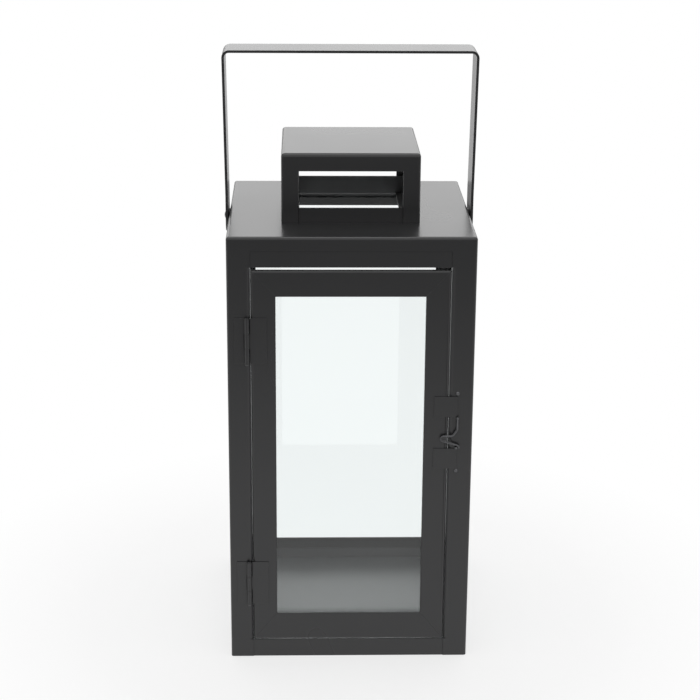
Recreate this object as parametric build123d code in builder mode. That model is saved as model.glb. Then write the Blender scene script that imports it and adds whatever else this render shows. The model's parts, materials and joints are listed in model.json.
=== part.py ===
from build123d import *
import os
from math import asin, cos, radians, sin

# Square candle lantern of folded steel sheet and glass, in millimetres.
# Origin: middle of the underside. +X right, +Y from the door to the rear, +Z up.

# Box and sheet
body_width = 140.0
body_depth = 140.0
body_height = 258.0
sheet = 1.0
corner_radius = 1.5
post_leg = 12.7
rail_recess = 0.25

# Door jambs: the front posts' inner edges, turned inward beside the door
hinge_jamb_width = 13.3
latch_jamb_width = 14.0
jamb_lip = 4.0
jamb_radius = 2.6

# Roof
skirt_height = 8.0
roof_edge_radius = 1.7
collar_bend_radius = 0.8
vent_hole_width = 58.6
front_sill_height = 8.8
rear_sill_height = 10.3

# Vent cowl
cowl_width = 79.0
cowl_depth = 78.0
cowl_height = 40.4
cowl_edge_radius = 2.0
cowl_window_width = 59.2
cowl_window_height = 30.1
cowl_window_radius = 0.7

# Openings in the four walls, as the bands of steel left round them
front_top_band = 17.5
front_bottom_band = 11.0
side_top_band = 15.6
side_bottom_band = 15.0

# Base tray
rim_height = 8.0

# Fixed glass
glass = 2.0
pane_side_lap = 5.2
pane_top_lap = 5.6
clip_sheet = 0.5
clip_height = 7.0
clip_tongue = 3.8
clip_gap = 0.4
clip_corner_room = 1.3
clip_inset = 45.0

# Door
door_gap_hinge = 0.1
door_gap_latch = 0.15
door_gap_top = 1.5
door_gap_bottom = 0.3
door_proud = 0.2
door_sheet = 0.8
door_edge_radius = 1.6
door_window_radius = 1.3
stile_width = 14.0
door_top_rail_width = 15.3
door_bottom_rail_width = 17.3
glass_setback = 2.0
door_pane_lap = 4.6
door_clip_foot = 5.0

# Butt hinges
hinge_height = 27.0
upper_hinge_drop = 41.2
lower_hinge_rise = 37.0
hinge_setback = 2.1
knuckle_radius = 1.4
hinge_pin_radius = 0.7
hinge_leaf = 0.5
frame_leaf_width = 7.2
door_leaf_width = 11.3
pin_head_radius = 1.1
pin_head_height = 0.5
knuckle_gap = 0.1
swing_gap = 0.3
pin_clearance = 0.05

# Wire hook and the stud it turns on
latch_height = 127.9
stud_inset = 2.45
hook_wire_radius = 0.6
stud_radius = 0.9
stud_shoulder_radius = 1.5
stud_head_radius = 1.6
stud_head_height = 0.6
eye_play = 0.1
hook_gap = 0.2
hook_arm_slope = 17.0
hook_arm_length = 8.4
hook_curl_turn = 80.0
hook_tail_reach = 7.7
hook_tail_height = 10.8
hook_tail_step = 5.0
hook_tail_rise = 4.0
hook_tail_bend = 2.2
hook_tip_radius = 0.9

# Stop tabs on the door, either side of the hook
stop_tab = 0.5
stop_tab_width = 13.4
stop_tab_height = 12.4
stop_tab_reach = 5.15
stop_tab_spacing = 31.6
stop_tab_rise = 3.2

# Keeper peg, and the strip riveted inside the latch post to carry it
keeper_radius = 0.7
keeper_length = 2.8
keeper_dome = 0.3
keeper_gap = 0.3
keeper_strip = 1.0
keeper_strip_width = 8.4
keeper_strip_inset = 3.0
keeper_strip_margin = 4.0
post_rivet_spacing = 47.2
post_rivet_inset = 5.0

# Small rivets
small_rivet_radius = 0.9
small_head_radius = 1.3
small_head_height = 0.8
small_tail_radius = 1.3
small_tail_height = 0.5
rivet_clearance = 0.02

# Strap handle
strap_width = 25.0
strap = 1.5
handle_rise = 98.7
handle_flare = 1.2
handle_straight = 14.0
handle_bend_radius = 3.5
handle_lean_radius = 60.0
strap_end = 8.2
strap_end_radius = 8.0
pivot_drop = 4.6
washer = 0.7
washer_radius = 4.0
handle_rivet_radius = 1.5
handle_head_radius = 2.6
handle_head_height = 1.1
handle_tail_radius = 2.3
handle_tail_height = 0.7
running_gap = 0.05

# Places worked out from the sizes above
wall_top = body_height - skirt_height
half_width = body_width / 2
half_depth = body_depth / 2
front_opening_top = body_height - front_top_band
side_opening_top = body_height - side_top_band
pane_top = side_opening_top + pane_top_lap
collar_width = cowl_width - 2 * sheet
collar_depth = cowl_depth - 2 * sheet

hinge_jamb = -(half_width - hinge_jamb_width)
latch_jamb = half_width - latch_jamb_width
door_left = hinge_jamb + door_gap_hinge
door_right = latch_jamb - door_gap_latch
door_bottom = front_bottom_band + door_gap_bottom
door_top = front_opening_top - door_gap_top
window_left = door_left + stile_width
window_right = door_right - stile_width
window_bottom = door_bottom + door_bottom_rail_width
window_top = door_top - door_top_rail_width

hinge_x = hinge_jamb - hinge_setback
hinge_y = -(half_depth + door_proud + knuckle_radius)
knuckle_height = hinge_height / 3

stud_x = door_right - stud_inset
stud_z = door_bottom + latch_height
eye_radius = stud_radius + pin_clearance + hook_wire_radius
eye_seat = stop_tab + hook_gap + hook_tip_radius - hook_wire_radius
arm_slope = radians(hook_arm_slope)
arm_start = (stud_x - eye_radius * sin(arm_slope), stud_z - eye_radius * cos(arm_slope))
arm_end = (
    arm_start[0] + hook_arm_length * cos(arm_slope),
    arm_start[1] - hook_arm_length * sin(arm_slope),
)
curl_radius = keeper_radius + keeper_gap + hook_wire_radius
keeper_x = arm_end[0] - curl_radius * sin(arm_slope)
keeper_z = arm_end[1] - curl_radius * cos(arm_slope)

tabs_z = stud_z + stop_tab_rise
post_rivet_x = latch_jamb + post_rivet_inset
post_rivets = [(post_rivet_x, tabs_z + side * post_rivet_spacing / 2) for side in (-1, 1)]
post_rivet_grip = sheet + keeper_strip

pivot_z = body_height - pivot_drop
handle_top = pivot_z + handle_rise
strap_inside = half_width + washer + running_gap
handle_grip = sheet + washer + strap + 2 * running_gap

# Wall planes: local x along the wall, local y up, local z outward
walls = {
    "front": (Plane((0, -half_depth, 0), x_dir=(1, 0, 0), z_dir=(0, -1, 0)), body_width),
    "rear": (Plane((0, half_depth, 0), x_dir=(-1, 0, 0), z_dir=(0, 1, 0)), body_width),
    "left": (Plane((-half_width, 0, 0), x_dir=(0, -1, 0), z_dir=(-1, 0, 0)), body_depth),
    "right": (Plane((half_width, 0, 0), x_dir=(0, 1, 0), z_dir=(1, 0, 0)), body_depth),
}
front_wall = walls["front"][0]
door_face = front_wall.offset(door_proud)

os.makedirs("parts", exist_ok=True)


def save(piece, name):
    """Label a finished piece and write it under its own name."""
    piece.label = name
    export_step(piece, f"parts/{name}.step")


def level(face, height):
    """Horizontal plane at a height: local x along the face, local y inward from it."""
    return Plane(face.origin + Vector(0, 0, height), x_dir=face.x_dir, z_dir=(0, 0, 1))


def turned(face, x, z, head, steps):
    """Turned pin standing on a face: domed head (radius, height), then steps (radius, length) inward."""
    head_radius, head_height = head
    dome_radius = (head_radius**2 + head_height**2) / (2 * head_height)
    half_turn = asin(head_radius / dome_radius) / 2
    dome_middle = (dome_radius * sin(half_turn), head_height - dome_radius * (1 - cos(half_turn)))
    outline = [(head_radius, 0)]
    depth = 0
    for radius, length in steps:
        if radius != outline[-1][0]:
            outline.append((radius, -depth))
        depth += length
        outline.append((radius, -depth))
    seat = face.from_local_coords(Vector(x, z, 0))
    with BuildPart() as pin:
        with BuildSketch(Plane(seat, x_dir=face.x_dir, z_dir=-face.y_dir)):
            with BuildLine():
                ThreePointArc((0, head_height), dome_middle, (head_radius, 0))
                Polyline(*outline, (0, -depth), (0, head_height))
            make_face()
        revolve(axis=Axis(seat, face.z_dir))
    return pin.part


def spring_clips(face, left, right, heights, foot, seat, back):
    """Z-bent clips at both edges of a pane: foot on the steel, tongue over the back of the glass."""
    with BuildPart() as clips:
        for height in heights:
            for side, edge in ((-1, left), (1, right)):
                riser = edge + side * (clip_gap + clip_sheet / 2)
                with BuildSketch(level(face, height)):
                    with BuildLine():
                        Polyline(
                            (riser + side * foot, seat + clip_sheet / 2),
                            (riser, seat + clip_sheet / 2),
                            (riser, back + clip_sheet / 2),
                            (edge - side * clip_tongue, back + clip_sheet / 2),
                        )
                    trace(line_width=clip_sheet)
                extrude(amount=clip_height / 2, both=True)
    return clips.part


# Base tray: floor with an upturned rim that fits inside the posts and rails
with BuildPart() as base_tray:
    with BuildSketch():
        RectangleRounded(body_width - 2 * sheet, body_depth - 2 * sheet, corner_radius)
    extrude(amount=rim_height)
    with BuildSketch(Plane.XY.offset(sheet)):
        Rectangle(body_width - 4 * sheet, body_depth - 4 * sheet)
    extrude(amount=rim_height, mode=Mode.SUBTRACT)
save(base_tray.part, "base_tray")

# Rear corner posts: folded angles
for name, side in (("post_rear_left", -1), ("post_rear_right", 1)):
    middle_x = side * (half_width - sheet / 2)
    middle_y = half_depth - sheet / 2
    with BuildPart() as post:
        with BuildSketch():
            with BuildLine():
                FilletPolyline(
                    (side * (half_width - post_leg), middle_y),
                    (middle_x, middle_y),
                    (middle_x, half_depth - post_leg),
                    radius=corner_radius - sheet / 2,
                )
            trace(line_width=sheet)
        extrude(amount=wall_top)
    save(post.part, name)

# Front corner posts: folded angles whose jamb is turned inward between the rails;
# the latch post has holes for the keeper and its strip's rivets
for name, side, jamb in (("post_front_left", -1, hinge_jamb), ("post_front_right", 1, latch_jamb)):
    middle_x = side * (half_width - sheet / 2)
    middle_y = -(half_depth - sheet / 2)
    lip_x = jamb + side * sheet / 2
    with BuildPart() as post:
        for low, high in ((0, front_bottom_band), (front_opening_top, wall_top)):
            with BuildSketch(Plane.XY.offset(low)):
                with BuildLine():
                    FilletPolyline(
                        (jamb, middle_y),
                        (middle_x, middle_y),
                        (middle_x, -(half_depth - post_leg)),
                        radius=corner_radius - sheet / 2,
                    )
                trace(line_width=sheet)
            extrude(amount=high - low)
        with BuildSketch(Plane.XY.offset(front_bottom_band)):
            with BuildLine():
                FilletPolyline(
                    (lip_x, -(half_depth - jamb_lip)),
                    (lip_x, middle_y),
                    (middle_x, middle_y),
                    (middle_x, -(half_depth - post_leg)),
                    radius=[jamb_radius - sheet / 2, corner_radius - sheet / 2],
                )
            trace(line_width=sheet)
        extrude(amount=front_opening_top - front_bottom_band)
        if name == "post_front_right":
            with BuildSketch(front_wall):
                with Locations(*post_rivets):
                    Circle(small_rivet_radius + rivet_clearance)
                with Locations((keeper_x, keeper_z)):
                    Circle(keeper_radius + rivet_clearance)
            extrude(amount=-sheet, mode=Mode.SUBTRACT)
    save(post.part, name)

# Rails between the posts, and the fixed panes with their clips
for wall_name, (wall, wall_width) in walls.items():
    is_front = wall_name == "front"
    opening_top = front_opening_top if is_front else side_opening_top
    opening_bottom = front_bottom_band if is_front else side_bottom_band
    opening_edge = wall_width / 2 - post_leg
    rail_left, rail_right = (hinge_jamb, latch_jamb) if is_front else (-opening_edge, opening_edge)
    rails = [("top_rail", opening_top, wall_top), ("bottom_rail", 0, opening_bottom)]
    for rail_name, low, high in rails:
        with BuildPart() as rail:
            with BuildSketch(wall.offset(-rail_recess)):
                with Locations(((rail_left + rail_right) / 2, (low + high) / 2)):
                    Rectangle(rail_right - rail_left, high - low)
            extrude(amount=rail_recess - sheet)
        save(rail.part, f"{wall_name}_{rail_name}")
    if is_front:
        continue
    pane_edge = opening_edge + pane_side_lap
    with BuildPart() as pane:
        with BuildSketch(wall.offset(-sheet)):
            with Locations((0, (rim_height + pane_top) / 2)):
                Rectangle(2 * pane_edge, pane_top - rim_height)
        extrude(amount=-glass)
    save(pane.part, f"{wall_name}_pane")
    clip_heights = [rim_height + clip_inset, pane_top - clip_inset]
    clip_foot = wall_width / 2 - sheet - clip_corner_room - pane_edge - clip_gap
    clips = spring_clips(wall, -pane_edge, pane_edge, clip_heights, clip_foot, sheet, sheet + glass)
    save(clips, f"{wall_name}_pane_clips")

# Roof: pan with a turned-down skirt, and a collar round a hole that leaves a ledge at either side
with BuildPart() as roof_sheet:
    with BuildSketch(Plane.XY.offset(wall_top)):
        RectangleRounded(body_width, body_depth, corner_radius)
    extrude(amount=skirt_height)
    fillet(roof_sheet.faces().sort_by(Axis.Z)[-1].edges(), radius=roof_edge_radius)
    with BuildSketch(Plane.XY.offset(wall_top)):
        Rectangle(body_width - 2 * sheet, body_depth - 2 * sheet)
    extrude(amount=skirt_height - sheet, mode=Mode.SUBTRACT)
    with BuildSketch(Plane.XY.offset(body_height)):
        Rectangle(collar_width, collar_depth)
        Rectangle(collar_width - 2 * sheet, collar_depth - 2 * sheet, mode=Mode.SUBTRACT)
    extrude(amount=rear_sill_height)
    with BuildSketch(Plane.XY.offset(body_height)):
        Rectangle(vent_hole_width, collar_depth - 2 * sheet)
    extrude(amount=-sheet, mode=Mode.SUBTRACT)
    with BuildSketch(Plane.XY.offset(body_height + front_sill_height)):
        with Locations((0, -collar_depth / 4)):
            Rectangle(collar_width, collar_depth / 2)
    extrude(amount=rear_sill_height, mode=Mode.SUBTRACT)
    underside = roof_sheet.faces().filter_by(Axis.Z).group_by(Axis.Z)[1][0]
    fillet(underside.inner_wires().edges().filter_by(Axis.X), radius=collar_bend_radius)
    with BuildSketch(Plane.YZ):
        with Locations((0, pivot_z)):
            Circle(handle_rivet_radius + rivet_clearance)
    extrude(amount=body_width, both=True, mode=Mode.SUBTRACT)
save(roof_sheet.part, "roof_sheet")

# Vent cowl: box over the collar, with a window down to the roof in its front and its rear
with BuildPart() as vent_cowl:
    with BuildSketch(Plane.XY.offset(body_height)):
        RectangleRounded(cowl_width, cowl_depth, corner_radius)
    extrude(amount=cowl_height)
    fillet(vent_cowl.faces().sort_by(Axis.Z)[-1].edges(), radius=cowl_edge_radius)
    with BuildSketch(Plane.XY.offset(body_height)):
        Rectangle(collar_width, collar_depth)
    extrude(amount=cowl_height - sheet, mode=Mode.SUBTRACT)
    with BuildSketch(Plane.XZ):
        with Locations((0, body_height + cowl_window_height / 2)):
            Rectangle(cowl_window_width, cowl_window_height)
    extrude(amount=cowl_depth, both=True, mode=Mode.SUBTRACT)
    outer_walls = vent_cowl.faces().filter_by(Axis.Y).group_by(Axis.Y)
    wall_edges = outer_walls[0].edges() + outer_walls[-1].edges()
    window_edges = wall_edges.filter_by_position(Axis.X, -cowl_window_width / 2, cowl_window_width / 2)
    window_top_z = body_height + cowl_window_height
    fillet(window_edges.filter_by_position(Axis.Z, body_height, window_top_z), radius=cowl_window_radius)
save(vent_cowl.part, "vent_cowl")

# Door frame: four folded channels, mitred from the door's corners to the window's corners
door_corners = [
    (door_left, door_bottom),
    (door_right, door_bottom),
    (door_right, door_top),
    (door_left, door_top),
]
window_corners = [
    (window_left, window_bottom),
    (window_right, window_bottom),
    (window_right, window_top),
    (window_left, window_top),
]
members = [
    ("door_bottom_rail", door_bottom_rail_width, door_face.x_dir, door_face.y_dir),
    ("door_latch_stile", stile_width, door_face.y_dir, -door_face.x_dir),
    ("door_top_rail", door_top_rail_width, -door_face.x_dir, -door_face.y_dir),
    ("door_hinge_stile", stile_width, -door_face.y_dir, door_face.x_dir),
]
for corner, (name, width, along, across) in enumerate(members):
    following = (corner + 1) % len(members)
    start = door_face.from_local_coords(Vector(*door_corners[corner], 0))
    end = door_face.from_local_coords(Vector(*door_corners[following], 0))
    with BuildPart() as member:
        with BuildSketch(Plane(start, x_dir=across, z_dir=along)) as channel:
            with BuildLine():
                Polyline(
                    (0, 0),
                    (width, 0),
                    (width, -glass_setback),
                    (width - door_sheet, -glass_setback),
                    (width - door_sheet, -door_sheet),
                    (door_sheet, -door_sheet),
                    (door_sheet, -glass_setback),
                    (0, -glass_setback),
                    close=True,
                )
            make_face()
            front_corners = channel.vertices().group_by(Axis.Y)[-1].sort_by(Axis.X)
            fillet(front_corners[0], radius=door_edge_radius)
            fillet(front_corners[1], radius=door_window_radius)
        extrude(amount=(end - start).length)
        with BuildSketch(door_face):
            with BuildLine():
                Polyline(
                    door_corners[corner],
                    door_corners[following],
                    window_corners[following],
                    window_corners[corner],
                    close=True,
                )
            make_face()
        extrude(amount=-glass_setback, mode=Mode.INTERSECT)
        if name == "door_latch_stile":
            with BuildSketch(door_face):
                with Locations((stud_x, stud_z)):
                    Circle(stud_radius + rivet_clearance)
            extrude(amount=-door_sheet, mode=Mode.SUBTRACT)
    save(member.part, name)

# Door glass against the turned-in window edge, with its clips
with BuildPart() as door_pane:
    with BuildSketch(door_face.offset(-glass_setback)):
        with Locations(((window_left + window_right) / 2, (window_bottom + window_top) / 2)):
            Rectangle(
                window_right - window_left + 2 * door_pane_lap,
                window_top - window_bottom + 2 * door_pane_lap,
            )
    extrude(amount=-glass)
save(door_pane.part, "door_pane")

door_clips = spring_clips(
    door_face,
    window_left - door_pane_lap,
    window_right + door_pane_lap,
    [window_bottom + clip_inset, window_top - clip_inset],
    door_clip_foot,
    door_sheet,
    glass_setback + glass,
)
save(door_clips, "door_pane_clips")

# Hinges: frame leaf with the two end knuckles, door leaf with the middle one, and the pin
for hinge_name, hinge_z in (
    ("upper_hinge", door_top - upper_hinge_drop),
    ("lower_hinge", door_bottom + lower_hinge_rise),
):
    notch_reach = knuckle_radius + swing_gap
    end_knuckles = [hinge_z - knuckle_height, hinge_z + knuckle_height]
    with BuildPart() as frame_leaf:
        with BuildSketch(front_wall):
            with Locations((hinge_x - frame_leaf_width / 2, hinge_z)):
                Rectangle(frame_leaf_width, hinge_height)
            with Locations((hinge_x - notch_reach / 2, hinge_z)):
                Rectangle(notch_reach, knuckle_height, mode=Mode.SUBTRACT)
        extrude(amount=hinge_leaf)
        for knuckle_z in end_knuckles:
            with BuildSketch(Plane.XY.offset(knuckle_z)):
                with Locations((hinge_x, hinge_y)):
                    Circle(knuckle_radius)
            extrude(amount=knuckle_height / 2, both=True)
        with BuildSketch(Plane.XY.offset(hinge_z)):
            with Locations((hinge_x, hinge_y)):
                Circle(hinge_pin_radius + pin_clearance)
        extrude(amount=hinge_height, both=True, mode=Mode.SUBTRACT)
    save(frame_leaf.part, f"{hinge_name}_frame_leaf")

    with BuildPart() as door_leaf:
        with BuildSketch(door_face):
            with Locations((hinge_x + door_leaf_width / 2, hinge_z)):
                Rectangle(door_leaf_width, hinge_height)
            with Locations(*[(hinge_x + notch_reach / 2, knuckle_z) for knuckle_z in end_knuckles]):
                Rectangle(notch_reach, knuckle_height + 2 * knuckle_gap, mode=Mode.SUBTRACT)
        extrude(amount=hinge_leaf)
        with BuildSketch(Plane.XY.offset(hinge_z)):
            with Locations((hinge_x, hinge_y)):
                Circle(knuckle_radius)
        extrude(amount=knuckle_height / 2 - knuckle_gap, both=True)
        with BuildSketch(Plane.XY.offset(hinge_z)):
            with Locations((hinge_x, hinge_y)):
                Circle(hinge_pin_radius + pin_clearance)
        extrude(amount=hinge_height, both=True, mode=Mode.SUBTRACT)
    save(door_leaf.part, f"{hinge_name}_door_leaf")

    with BuildPart() as pin:
        with BuildSketch(Plane.XY.offset(hinge_z)):
            with Locations((hinge_x, hinge_y)):
                Circle(hinge_pin_radius)
        extrude(amount=hinge_height / 2, both=True)
        for pin_end in (hinge_z - hinge_height / 2 - pin_head_height, hinge_z + hinge_height / 2):
            with BuildSketch(Plane.XY.offset(pin_end)):
                with Locations((hinge_x, hinge_y)):
                    Circle(pin_head_radius)
            extrude(amount=pin_head_height)
    save(pin.part, f"{hinge_name}_pin")

# Stop tabs: two plates on the door that lap over the latch post
with BuildPart() as door_stop_tabs:
    tab_x = door_right + stop_tab_reach - stop_tab_width / 2
    with BuildSketch(door_face):
        with Locations((tab_x, tabs_z)):
            with GridLocations(0, stop_tab_spacing, 1, 2):
                Rectangle(stop_tab_width, stop_tab_height)
    extrude(amount=stop_tab)
save(door_stop_tabs.part, "door_stop_tabs")

# Keeper strip inside the latch post, with its rivets and the headless peg that the hook drops over
strip_middle = latch_jamb + keeper_strip_inset + keeper_strip_width / 2
with BuildPart() as latch_keeper_strip:
    with BuildSketch(front_wall.offset(-sheet)):
        with Locations((strip_middle, tabs_z)):
            Rectangle(keeper_strip_width, post_rivet_spacing + 2 * keeper_strip_margin)
        with Locations(*post_rivets):
            Circle(small_rivet_radius + rivet_clearance, mode=Mode.SUBTRACT)
        with Locations((keeper_x, keeper_z)):
            Circle(keeper_radius + rivet_clearance, mode=Mode.SUBTRACT)
    extrude(amount=-keeper_strip)
save(latch_keeper_strip.part, "latch_keeper_strip")

small_head = (small_head_radius, small_head_height)
small_tail = (small_tail_radius, small_tail_height)
post_rivet_steps = [(small_rivet_radius, post_rivet_grip), small_tail]
with BuildPart() as latch_post_rivets:
    for rivet_x, rivet_z in post_rivets:
        add(turned(front_wall, rivet_x, rivet_z, small_head, post_rivet_steps))
save(latch_post_rivets.part, "latch_post_rivets")

keeper_top = front_wall.offset(keeper_length)
keeper_shank = (keeper_radius, keeper_length + post_rivet_grip)
keeper_end = (keeper_radius, keeper_dome)
latch_keeper = turned(keeper_top, keeper_x, keeper_z, keeper_end, [keeper_shank, small_tail])
save(latch_keeper, "latch_keeper")

# Latch stud in the door's latch stile: shoulder, neck for the eye, and domed head
stud_neck = 2 * (hook_wire_radius + eye_play)
stud_shoulder = eye_seat - eye_play
latch_stud = turned(
    door_face.offset(stud_shoulder + stud_neck),
    stud_x,
    stud_z,
    (stud_head_radius, stud_head_height),
    [
        (stud_radius, stud_neck),
        (stud_shoulder_radius, stud_shoulder),
        (stud_radius, door_sheet),
        small_tail,
    ],
)
save(latch_stud, "latch_stud")

# Wire hook: eye round the stud, arm that curls over the keeper, finger tail with a ball tip
hook_plane = door_face.offset(eye_seat + hook_wire_radius)
with BuildPart() as latch_hook:
    with Locations(hook_plane):
        with Locations((stud_x, stud_z)):
            Torus(eye_radius, hook_wire_radius)
    with BuildLine(hook_plane) as arm:
        Line(arm_start, arm_end)
        CenterArc((keeper_x, keeper_z), curl_radius, 90 - hook_arm_slope, -hook_curl_turn)
    with BuildSketch(Plane(arm.line @ 0, z_dir=arm.line % 0)):
        Circle(hook_wire_radius)
    sweep()
    tail_tip = (stud_x + hook_tail_reach, stud_z + eye_radius + hook_tail_height)
    with BuildLine(hook_plane) as tail:
        FilletPolyline(
            (stud_x, stud_z + eye_radius),
            (stud_x + hook_tail_step, stud_z + eye_radius),
            (stud_x + hook_tail_reach, stud_z + eye_radius + hook_tail_rise),
            tail_tip,
            radius=hook_tail_bend,
        )
    with BuildSketch(Plane(tail.line @ 0, z_dir=tail.line % 0)):
        Circle(hook_wire_radius)
    sweep()
    with Locations(hook_plane):
        with Locations(tail_tip):
            Sphere(hook_tip_radius)
save(latch_hook.part, "latch_hook")

# Strap handle, its washers and its rivets
with BuildPart() as handle_strap:
    foot_x = strap_inside + strap / 2
    bar_x = foot_x + handle_flare
    bar_z = handle_top - strap / 2
    with BuildSketch(Plane.XZ):
        with BuildLine():
            FilletPolyline(
                (-foot_x, pivot_z - strap_end),
                (-foot_x, pivot_z + handle_straight),
                (-bar_x, bar_z),
                (bar_x, bar_z),
                (foot_x, pivot_z + handle_straight),
                (foot_x, pivot_z - strap_end),
                radius=[handle_lean_radius, handle_bend_radius, handle_bend_radius, handle_lean_radius],
            )
        trace(line_width=strap)
    extrude(amount=strap_width / 2, both=True)
    fillet(handle_strap.edges().filter_by(Axis.X).group_by(Axis.Z)[0], radius=strap_end_radius)
    with BuildSketch(Plane.YZ):
        with Locations((0, pivot_z)):
            Circle(handle_rivet_radius + pin_clearance)
    extrude(amount=body_width, both=True, mode=Mode.SUBTRACT)
save(handle_strap.part, "handle_strap")

handle_walls = [walls["left"][0], walls["right"][0]]
with BuildPart() as handle_washers:
    for wall in handle_walls:
        with BuildSketch(wall):
            with Locations((0, pivot_z)):
                Circle(washer_radius)
                Circle(handle_rivet_radius + rivet_clearance, mode=Mode.SUBTRACT)
        extrude(amount=washer)
save(handle_washers.part, "handle_washers")

handle_head = (handle_head_radius, handle_head_height)
handle_steps = [(handle_rivet_radius, handle_grip), (handle_tail_radius, handle_tail_height)]
with BuildPart() as handle_rivets:
    for wall in handle_walls:
        head_face = wall.offset(handle_grip - sheet)
        add(turned(head_face, 0, pivot_z, handle_head, handle_steps))
save(handle_rivets.part, "handle_rivets")
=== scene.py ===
import json
import math

import bpy
from mathutils import Matrix, Vector


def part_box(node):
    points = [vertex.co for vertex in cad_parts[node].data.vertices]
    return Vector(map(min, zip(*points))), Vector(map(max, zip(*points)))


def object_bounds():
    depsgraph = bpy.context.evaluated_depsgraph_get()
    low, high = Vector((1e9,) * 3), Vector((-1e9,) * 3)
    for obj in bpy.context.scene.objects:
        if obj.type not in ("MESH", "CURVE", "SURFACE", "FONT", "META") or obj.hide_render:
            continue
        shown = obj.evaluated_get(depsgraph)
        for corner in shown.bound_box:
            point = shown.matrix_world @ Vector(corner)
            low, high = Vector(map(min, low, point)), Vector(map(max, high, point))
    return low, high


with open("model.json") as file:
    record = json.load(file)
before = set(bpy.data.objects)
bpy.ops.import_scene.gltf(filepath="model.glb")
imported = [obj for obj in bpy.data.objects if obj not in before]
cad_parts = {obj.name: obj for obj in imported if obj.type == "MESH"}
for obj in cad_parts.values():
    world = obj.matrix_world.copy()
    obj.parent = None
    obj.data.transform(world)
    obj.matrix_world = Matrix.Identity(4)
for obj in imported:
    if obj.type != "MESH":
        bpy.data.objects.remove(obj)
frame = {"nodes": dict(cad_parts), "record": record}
cad_low, cad_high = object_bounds()
nodes = frame["nodes"]
slot_of = {part["node"]: part["material_slot"] for part in frame["record"]["subparts"]}
scene = bpy.context.scene
mm = 0.001


def linear(hex_colour):
    """Linear RGBA of an sRGB hex colour."""
    shares = [int(hex_colour[i : i + 2], 16) / 255 for i in (1, 3, 5)]
    return [s / 12.92 if s <= 0.04045 else ((s + 0.055) / 1.055) ** 2.4 for s in shares] + [1]


def add_node(tree, kind, inputs=None, **settings):
    """Add a node to a tree. An input that is a socket is linked, and any other value is set."""
    made = tree.nodes.new(kind)
    for name, value in settings.items():
        setattr(made, name, value)
    for name, value in (inputs or {}).items():
        if isinstance(value, bpy.types.NodeSocket):
            tree.links.new(value, made.inputs[name])
        else:
            made.inputs[name].default_value = value
    return made


def new_material(name):
    """An empty material and its node tree."""
    material = bpy.data.materials.new(name)
    material.use_nodes = True
    material.node_tree.nodes.clear()
    return material, material.node_tree


# Powder coat

coat_thick = "#272728"
coat_thin = "#2b2b2c"
# Inside the box the coat is painted a lighter grey: painted light for the light that fills the box
inside_painted_light_thick = "#4a4a4c"
inside_painted_light_thin = "#59595a"
coat_index = 1.5
coat_roughness = 0.28
patch_dulling = 0.02
inner_dulling = 0.05
peel_mm = 1.4
peel_depth_mm = 0.001
peel_detail = 2.0
peel_raggedness = 0.4
patch_mm = 60
patch_detail = 1.0
patch_raggedness = 0.5


def powder_coat(name, inside_half_width):
    """Polyester powder baked on sheet steel: satin black, with a faint orange peel where it flowed and
    broad patches that are barely duller and greyer where the film is thinner. Inside the box, nearer the
    upright axis than the given half-width, the film is duller where the charged powder lands thinner, and
    its colour is a lighter grey: painted light for the light that fills the box."""
    material, tree = new_material(name)
    place = add_node(tree, "ShaderNodeTexCoord").outputs["Object"]
    peel = add_node(
        tree,
        "ShaderNodeTexNoise",
        {
            "Vector": place,
            "Scale": 1 / (peel_mm * mm),
            "Detail": peel_detail,
            "Roughness": peel_raggedness,
        },
    ).outputs["Fac"]
    patches = add_node(
        tree,
        "ShaderNodeTexNoise",
        {
            "Vector": place,
            "Scale": 1 / (patch_mm * mm),
            "Detail": patch_detail,
            "Roughness": patch_raggedness,
        },
    ).outputs["Fac"]
    offsets = add_node(tree, "ShaderNodeVectorMath", {0: place}, operation="ABSOLUTE").outputs["Vector"]
    aside = add_node(tree, "ShaderNodeSeparateXYZ", {"Vector": offsets}).outputs
    reach = add_node(tree, "ShaderNodeMath", {0: aside["X"], 1: aside["Y"]}, operation="MAXIMUM")
    # Mask for the inside of the box, where the coat is duller and is painted lighter as painted light
    inside = add_node(
        tree,
        "ShaderNodeMath",
        {0: reach.outputs["Value"], 1: inside_half_width},
        operation="LESS_THAN",
    ).outputs["Value"]
    # Inside the box each film colour is swapped for a lighter one: painted light
    thick, thin = [
        add_node(
            tree,
            "ShaderNodeMix",
            {"Factor": inside, "A": linear(outer), "B": linear(inner)},
            data_type="RGBA",
        ).outputs["Result"]
        for outer, inner in ((coat_thick, inside_painted_light_thick), (coat_thin, inside_painted_light_thin))
    ]
    film = add_node(tree, "ShaderNodeMix", {"Factor": patches, "A": thick, "B": thin}, data_type="RGBA")
    patchy = add_node(
        tree,
        "ShaderNodeMapRange",
        {
            "Value": patches,
            "To Min": coat_roughness - patch_dulling,
            "To Max": coat_roughness + patch_dulling,
        },
    )
    dulled = add_node(
        tree,
        "ShaderNodeMath",
        {0: inside, 1: inner_dulling, 2: patchy.outputs["Result"]},
        operation="MULTIPLY_ADD",
    )
    bump = add_node(
        tree,
        "ShaderNodeBump",
        {"Height": peel, "Strength": 1.0, "Distance": peel_depth_mm * mm},
    )
    shader = add_node(
        tree,
        "ShaderNodeBsdfPrincipled",
        {
            "Base Color": film.outputs["Result"],
            "Roughness": dulled.outputs["Value"],
            "IOR": coat_index,
            "Normal": bump.outputs["Normal"],
        },
    )
    add_node(tree, "ShaderNodeOutputMaterial", {"Surface": shader.outputs["BSDF"]})
    return material


# Float glass

glass_colour = "#fbfdfd"
glass_index = 1.45
glass_shade = "#eff4f2"
glass_depth_colour = "#b8ded2"
glass_absorption_per_metre = 12.0


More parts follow.
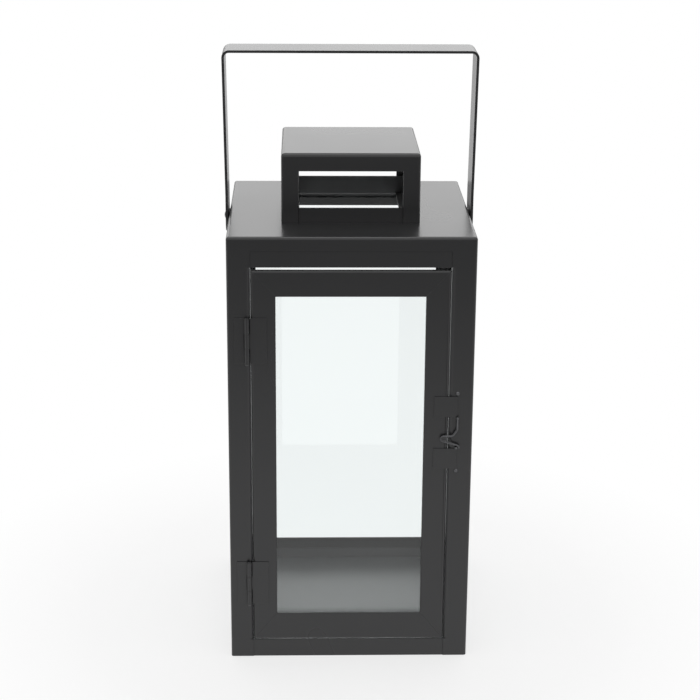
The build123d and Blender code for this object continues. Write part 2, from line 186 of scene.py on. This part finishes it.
def float_glass(name):
    """Clear soda-lime glass, drawn flat and cut: a faint green cast that deepens towards the cut edges, and
    reflections as weak as in the photograph, from an index a little under the usual 1.52. Lamps shine
    through it, so that the inside is lit and the panes cast no dark shadow."""
    material, tree = new_material(name)
    shader = add_node(
        tree,
        "ShaderNodeBsdfPrincipled",
        {
            "Base Color": linear(glass_colour),
            "Roughness": 0.0,
            "IOR": glass_index,
            "Transmission Weight": 1.0,
        },
    )
    lit_through = add_node(tree, "ShaderNodeBsdfTransparent", {"Color": linear(glass_shade)})
    ray = add_node(tree, "ShaderNodeLightPath").outputs
    surface = add_node(
        tree,
        "ShaderNodeMixShader",
        {"Fac": ray["Is Shadow Ray"], 1: shader.outputs["BSDF"], 2: lit_through.outputs["BSDF"]},
    )
    depth = add_node(
        tree,
        "ShaderNodeVolumeAbsorption",
        {"Color": linear(glass_depth_colour), "Density": glass_absorption_per_metre},
    )
    add_node(
        tree,
        "ShaderNodeOutputMaterial",
        {"Surface": surface.outputs["Shader"], "Volume": depth.outputs["Volume"]},
    )
    return material


# Blackened steel

steel_colour = "#5c5c5e"
rubbed_roughness = 0.24
black_roughness = 0.36
rub_mm = 0.6
rub_detail = 4.0
rub_raggedness = 0.6
rub_low = 0.3
rub_high = 0.7


def blackened_steel(name):
    """Drawn steel wire and turned pins, blackened in oil and rubbed by use: a grey metal sheen, shinier in
    small spots where the black has worn thin."""
    material, tree = new_material(name)
    place = add_node(tree, "ShaderNodeTexCoord").outputs["Object"]
    rubs = add_node(
        tree,
        "ShaderNodeTexNoise",
        {
            "Vector": place,
            "Scale": 1 / (rub_mm * mm),
            "Detail": rub_detail,
            "Roughness": rub_raggedness,
        },
    )
    gloss = add_node(
        tree,
        "ShaderNodeMapRange",
        {
            "Value": rubs.outputs["Fac"],
            "From Min": rub_low,
            "From Max": rub_high,
            "To Min": rubbed_roughness,
            "To Max": black_roughness,
        },
    )
    shader = add_node(
        tree,
        "ShaderNodeBsdfPrincipled",
        {
            "Base Color": linear(steel_colour),
            "Metallic": 1.0,
            "Roughness": gloss.outputs["Result"],
        },
    )
    add_node(tree, "ShaderNodeOutputMaterial", {"Surface": shader.outputs["BSDF"]})
    return material


# Finish of each piece

# The tray fits inside the walls, and the cowl and the collar under it are each one sheet thick
steel_sheet = 1.0 * mm
inner_margin = 0.3 * mm
inside_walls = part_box("base_tray")[1].x + inner_margin
inside_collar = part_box("vent_cowl")[1].x - 2 * steel_sheet + inner_margin

body_coat = powder_coat("satin_black_powder_coat", inside_half_width=0)
# The walls and the roof are painted lighter inside the box: painted light for the light that fills it
wall_coat = powder_coat("satin_black_powder_coat_walls", inside_half_width=inside_walls)
roof_coat = powder_coat("satin_black_powder_coat_roof", inside_half_width=inside_collar)
wire_finish = blackened_steel("oil_blackened_steel")
slot_finish = {
    "black_powder_coat": body_coat,
    "black_hardware": body_coat,
    "clear_glass": float_glass("clear_float_glass"),
}

rails = [
    f"{side}_{rail}"
    for side in ("front", "rear", "left", "right")
    for rail in ("top_rail", "bottom_rail")
]
posts = [f"post_{end}_{side}" for end in ("front", "rear") for side in ("left", "right")]
bare_steel = [
    "latch_hook",
    "latch_keeper",
    "latch_post_rivets",
    "upper_hinge_pin",
    "lower_hinge_pin",
]
finish_of = {name: slot_finish[slot] for name, slot in slot_of.items()}
finish_of |= {name: wall_coat for name in rails + posts + ["base_tray"]}
finish_of |= {name: wire_finish for name in bare_steel}
finish_of["roof_sheet"] = roof_coat

for name, node in nodes.items():
    node.data.materials.clear()
    node.data.materials.append(finish_of[name])


# Edges

# Coated sheet has no sharp arris, and each thin edge catches a line of light. The hook is round wire, and
# the bends of the roof and the cowl are rounded already
rounded = ("latch_hook", "roof_sheet", "vent_cowl")
edge_radius = {"black_powder_coat": 0.12 * mm, "black_hardware": 0.12 * mm, "clear_glass": 0.15 * mm}
edge_segments = 2
sharp_angle = math.radians(40)
weld_reach = 0.001 * mm
flat_face_weight = 100

for name, node in nodes.items():
    weld = node.modifiers.new("join_faces", "WELD")
    weld.merge_threshold = weld_reach
    if name in rounded:
        continue
    bevel = node.modifiers.new("coated_edges", "BEVEL")
    bevel.width = edge_radius[slot_of[name]]
    bevel.segments = edge_segments
    bevel.limit_method = "ANGLE"
    bevel.angle_limit = sharp_angle
    flat = node.modifiers.new("flat_faces", "WEIGHTED_NORMAL")
    flat.weight = flat_face_weight
    flat.keep_sharp = True


# Studio

# A wide sheet of white paper under soft light, in a darker room on the camera's side, in metres
white = "#ffffff"
paper_white = "#f4f4f4"
paper_half_width = 2.0
paper_front = -1.1
paper_rear = 3.0
paper_drop = 0.05 * mm
shadow_reach = 0.16
shadow_fade = 0.12
shadow_lift = 0.7
front_fade_near = -0.32
front_fade_far = -1.02
room_dark = 0.1
room_fill = 0.65
horizon_blur = 0.05


def sight(tree):
    """Two sockets: 1 on rays that come straight or through glass to the eye, and 1 on reflected rays."""
    ray = add_node(tree, "ShaderNodeLightPath").outputs
    straight = add_node(
        tree,
        "ShaderNodeMath",
        {0: ray["Is Camera Ray"], 1: ray["Is Transmission Ray"]},
        operation="MAXIMUM",
    ).outputs["Value"]
    return straight, ray["Is Glossy Ray"]


def paper(name):
    """White paper that keeps a soft shadow round the lantern and is plain white away from it. Towards the
    camera's side its reflection dims, as the paper runs out of the light."""
    material, tree = new_material(name)
    straight, mirrored = sight(tree)
    place = add_node(tree, "ShaderNodeTexCoord").outputs["Object"]
    distance = add_node(tree, "ShaderNodeVectorMath", {0: place}, operation="LENGTH").outputs["Value"]
    away = add_node(
        tree,
        "ShaderNodeMapRange",
        {
            "Value": distance,
            "From Min": shadow_reach,
            "From Max": shadow_reach + shadow_fade,
            "To Min": shadow_lift,
        },
    ).outputs["Result"]
    rearward = add_node(tree, "ShaderNodeSeparateXYZ", {"Vector": place}).outputs["Y"]
    dimmed = add_node(
        tree,
        "ShaderNodeMapRange",
        {
            "Value": rearward,
            "From Min": front_fade_far,
            "From Max": front_fade_near,
            "To Min": room_dark,
        },
    ).outputs["Result"]
    plain = add_node(tree, "ShaderNodeMath", {0: away, 1: straight}, operation="MULTIPLY").outputs["Value"]
    share = add_node(tree, "ShaderNodeMath", {0: plain, 1: mirrored}, operation="MAXIMUM").outputs["Value"]
    level = add_node(tree, "ShaderNodeMath", {0: dimmed, 1: straight}, operation="MAXIMUM").outputs["Value"]
    lit = add_node(tree, "ShaderNodeBsdfDiffuse", {"Color": linear(paper_white)})
    glow = add_node(tree, "ShaderNodeEmission", {"Color": linear(white), "Strength": level})
    mixed = add_node(
        tree,
        "ShaderNodeMixShader",
        {"Fac": share, 1: lit.outputs["BSDF"], 2: glow.outputs["Emission"]},
    )
    add_node(tree, "ShaderNodeOutputMaterial", {"Surface": mixed.outputs["Shader"]})
    return material


def paper_sheet():
    """Flat sheet of paper just under the lantern."""
    corners = [
        (-paper_half_width, paper_front, 0),
        (paper_half_width, paper_front, 0),
        (paper_half_width, paper_rear, 0),
        (-paper_half_width, paper_rear, 0),
    ]
    mesh = bpy.data.meshes.new("paper_sheet")
    mesh.from_pydata(corners, [], [(0, 1, 2, 3)])
    mesh.materials.append(paper("white_paper"))
    sheet = bpy.data.objects.new("paper_sheet", mesh)
    scene.collection.objects.link(sheet)
    sheet.location.z = cad_low.z - paper_drop


def room():
    """White surroundings to the eye, in the coat and through the glass; a softer level lights the rest.
    Below the paper the room's floor is dark in the coat."""
    world = bpy.data.worlds.new("studio")
    world.use_nodes = True
    scene.world = world
    tree = world.node_tree
    tree.nodes.clear()
    straight, mirrored = sight(tree)
    seen = add_node(tree, "ShaderNodeMath", {0: straight, 1: mirrored}, operation="MAXIMUM").outputs["Value"]
    direction = add_node(tree, "ShaderNodeTexCoord").outputs["Generated"]
    height = add_node(tree, "ShaderNodeSeparateXYZ", {"Vector": direction}).outputs["Z"]
    above = add_node(
        tree,
        "ShaderNodeMapRange",
        {
            "Value": height,
            "From Min": -horizon_blur,
            "From Max": horizon_blur,
            "To Min": room_dark,
        },
    ).outputs["Result"]
    level = add_node(tree, "ShaderNodeMath", {0: above, 1: straight}, operation="MAXIMUM").outputs["Value"]
    fill = add_node(tree, "ShaderNodeBackground", {"Color": linear(white), "Strength": room_fill})
    surroundings = add_node(tree, "ShaderNodeBackground", {"Color": linear(white), "Strength": level})
    mixed = add_node(
        tree,
        "ShaderNodeMixShader",
        {"Fac": seen, 1: fill.outputs["Background"], 2: surroundings.outputs["Background"]},
    )
    add_node(tree, "ShaderNodeOutputWorld", {"Surface": mixed.outputs["Shader"]})


def soft_light(name, place, aim, width, height, radiance):
    """Softbox that faces a point, by the radiance of its front."""
    light = bpy.data.lights.new(name, "AREA")
    light.shape = "RECTANGLE"
    light.size = width
    light.size_y = height
    light.energy = radiance * math.pi * width * height
    lamp = bpy.data.objects.new(name, light)
    scene.collection.objects.link(lamp)
    lamp.location = place
    lamp.rotation_euler = (Vector(aim) - Vector(place)).to_track_quat("-Z", "Y").to_euler()
    lamp.visible_camera = False


paper_sheet()
room()
soft_light("overhead", place=(0.0, 0.1, 1.25), aim=(0.0, 0.0, 0.1), width=1.1, height=1.1, radiance=1.2)
soft_light("behind", place=(0.0, 1.5, 0.85), aim=(0.0, 0.0, 0.26), width=2.6, height=1.0, radiance=0.76)


# Camera

# Its place, tilt and lens are fitted to the photograph's straight edges
camera_place = Vector((-27.0, -1041.9, 513.7)) * mm
camera_pitch = math.radians(18.29)
camera_yaw = math.radians(1.55)
camera_roll = math.radians(0.43)
camera_sensor_mm = 36.0
camera_lens_mm = 93.26

ahead = Vector(
    (
        math.sin(camera_yaw) * math.cos(camera_pitch),
        math.cos(camera_yaw) * math.cos(camera_pitch),
        -math.sin(camera_pitch),
    )
)
level_right = Vector((math.cos(camera_yaw), -math.sin(camera_yaw), 0))
level_up = level_right.cross(ahead)
right = level_right * math.cos(camera_roll) + level_up * math.sin(camera_roll)
up = level_up * math.cos(camera_roll) - level_right * math.sin(camera_roll)
camera_turn = Matrix((right, up, -ahead)).transposed()

camera_data = bpy.data.cameras.new("photo_camera")
camera_data.sensor_width = camera_sensor_mm
camera_data.lens = camera_lens_mm
camera = bpy.data.objects.new("photo_camera", camera_data)
scene.collection.objects.link(camera)
camera.matrix_world = Matrix.Translation(camera_place) @ camera_turn.to_4x4()
scene.camera = camera

scene.view_settings.view_transform = "Standard"
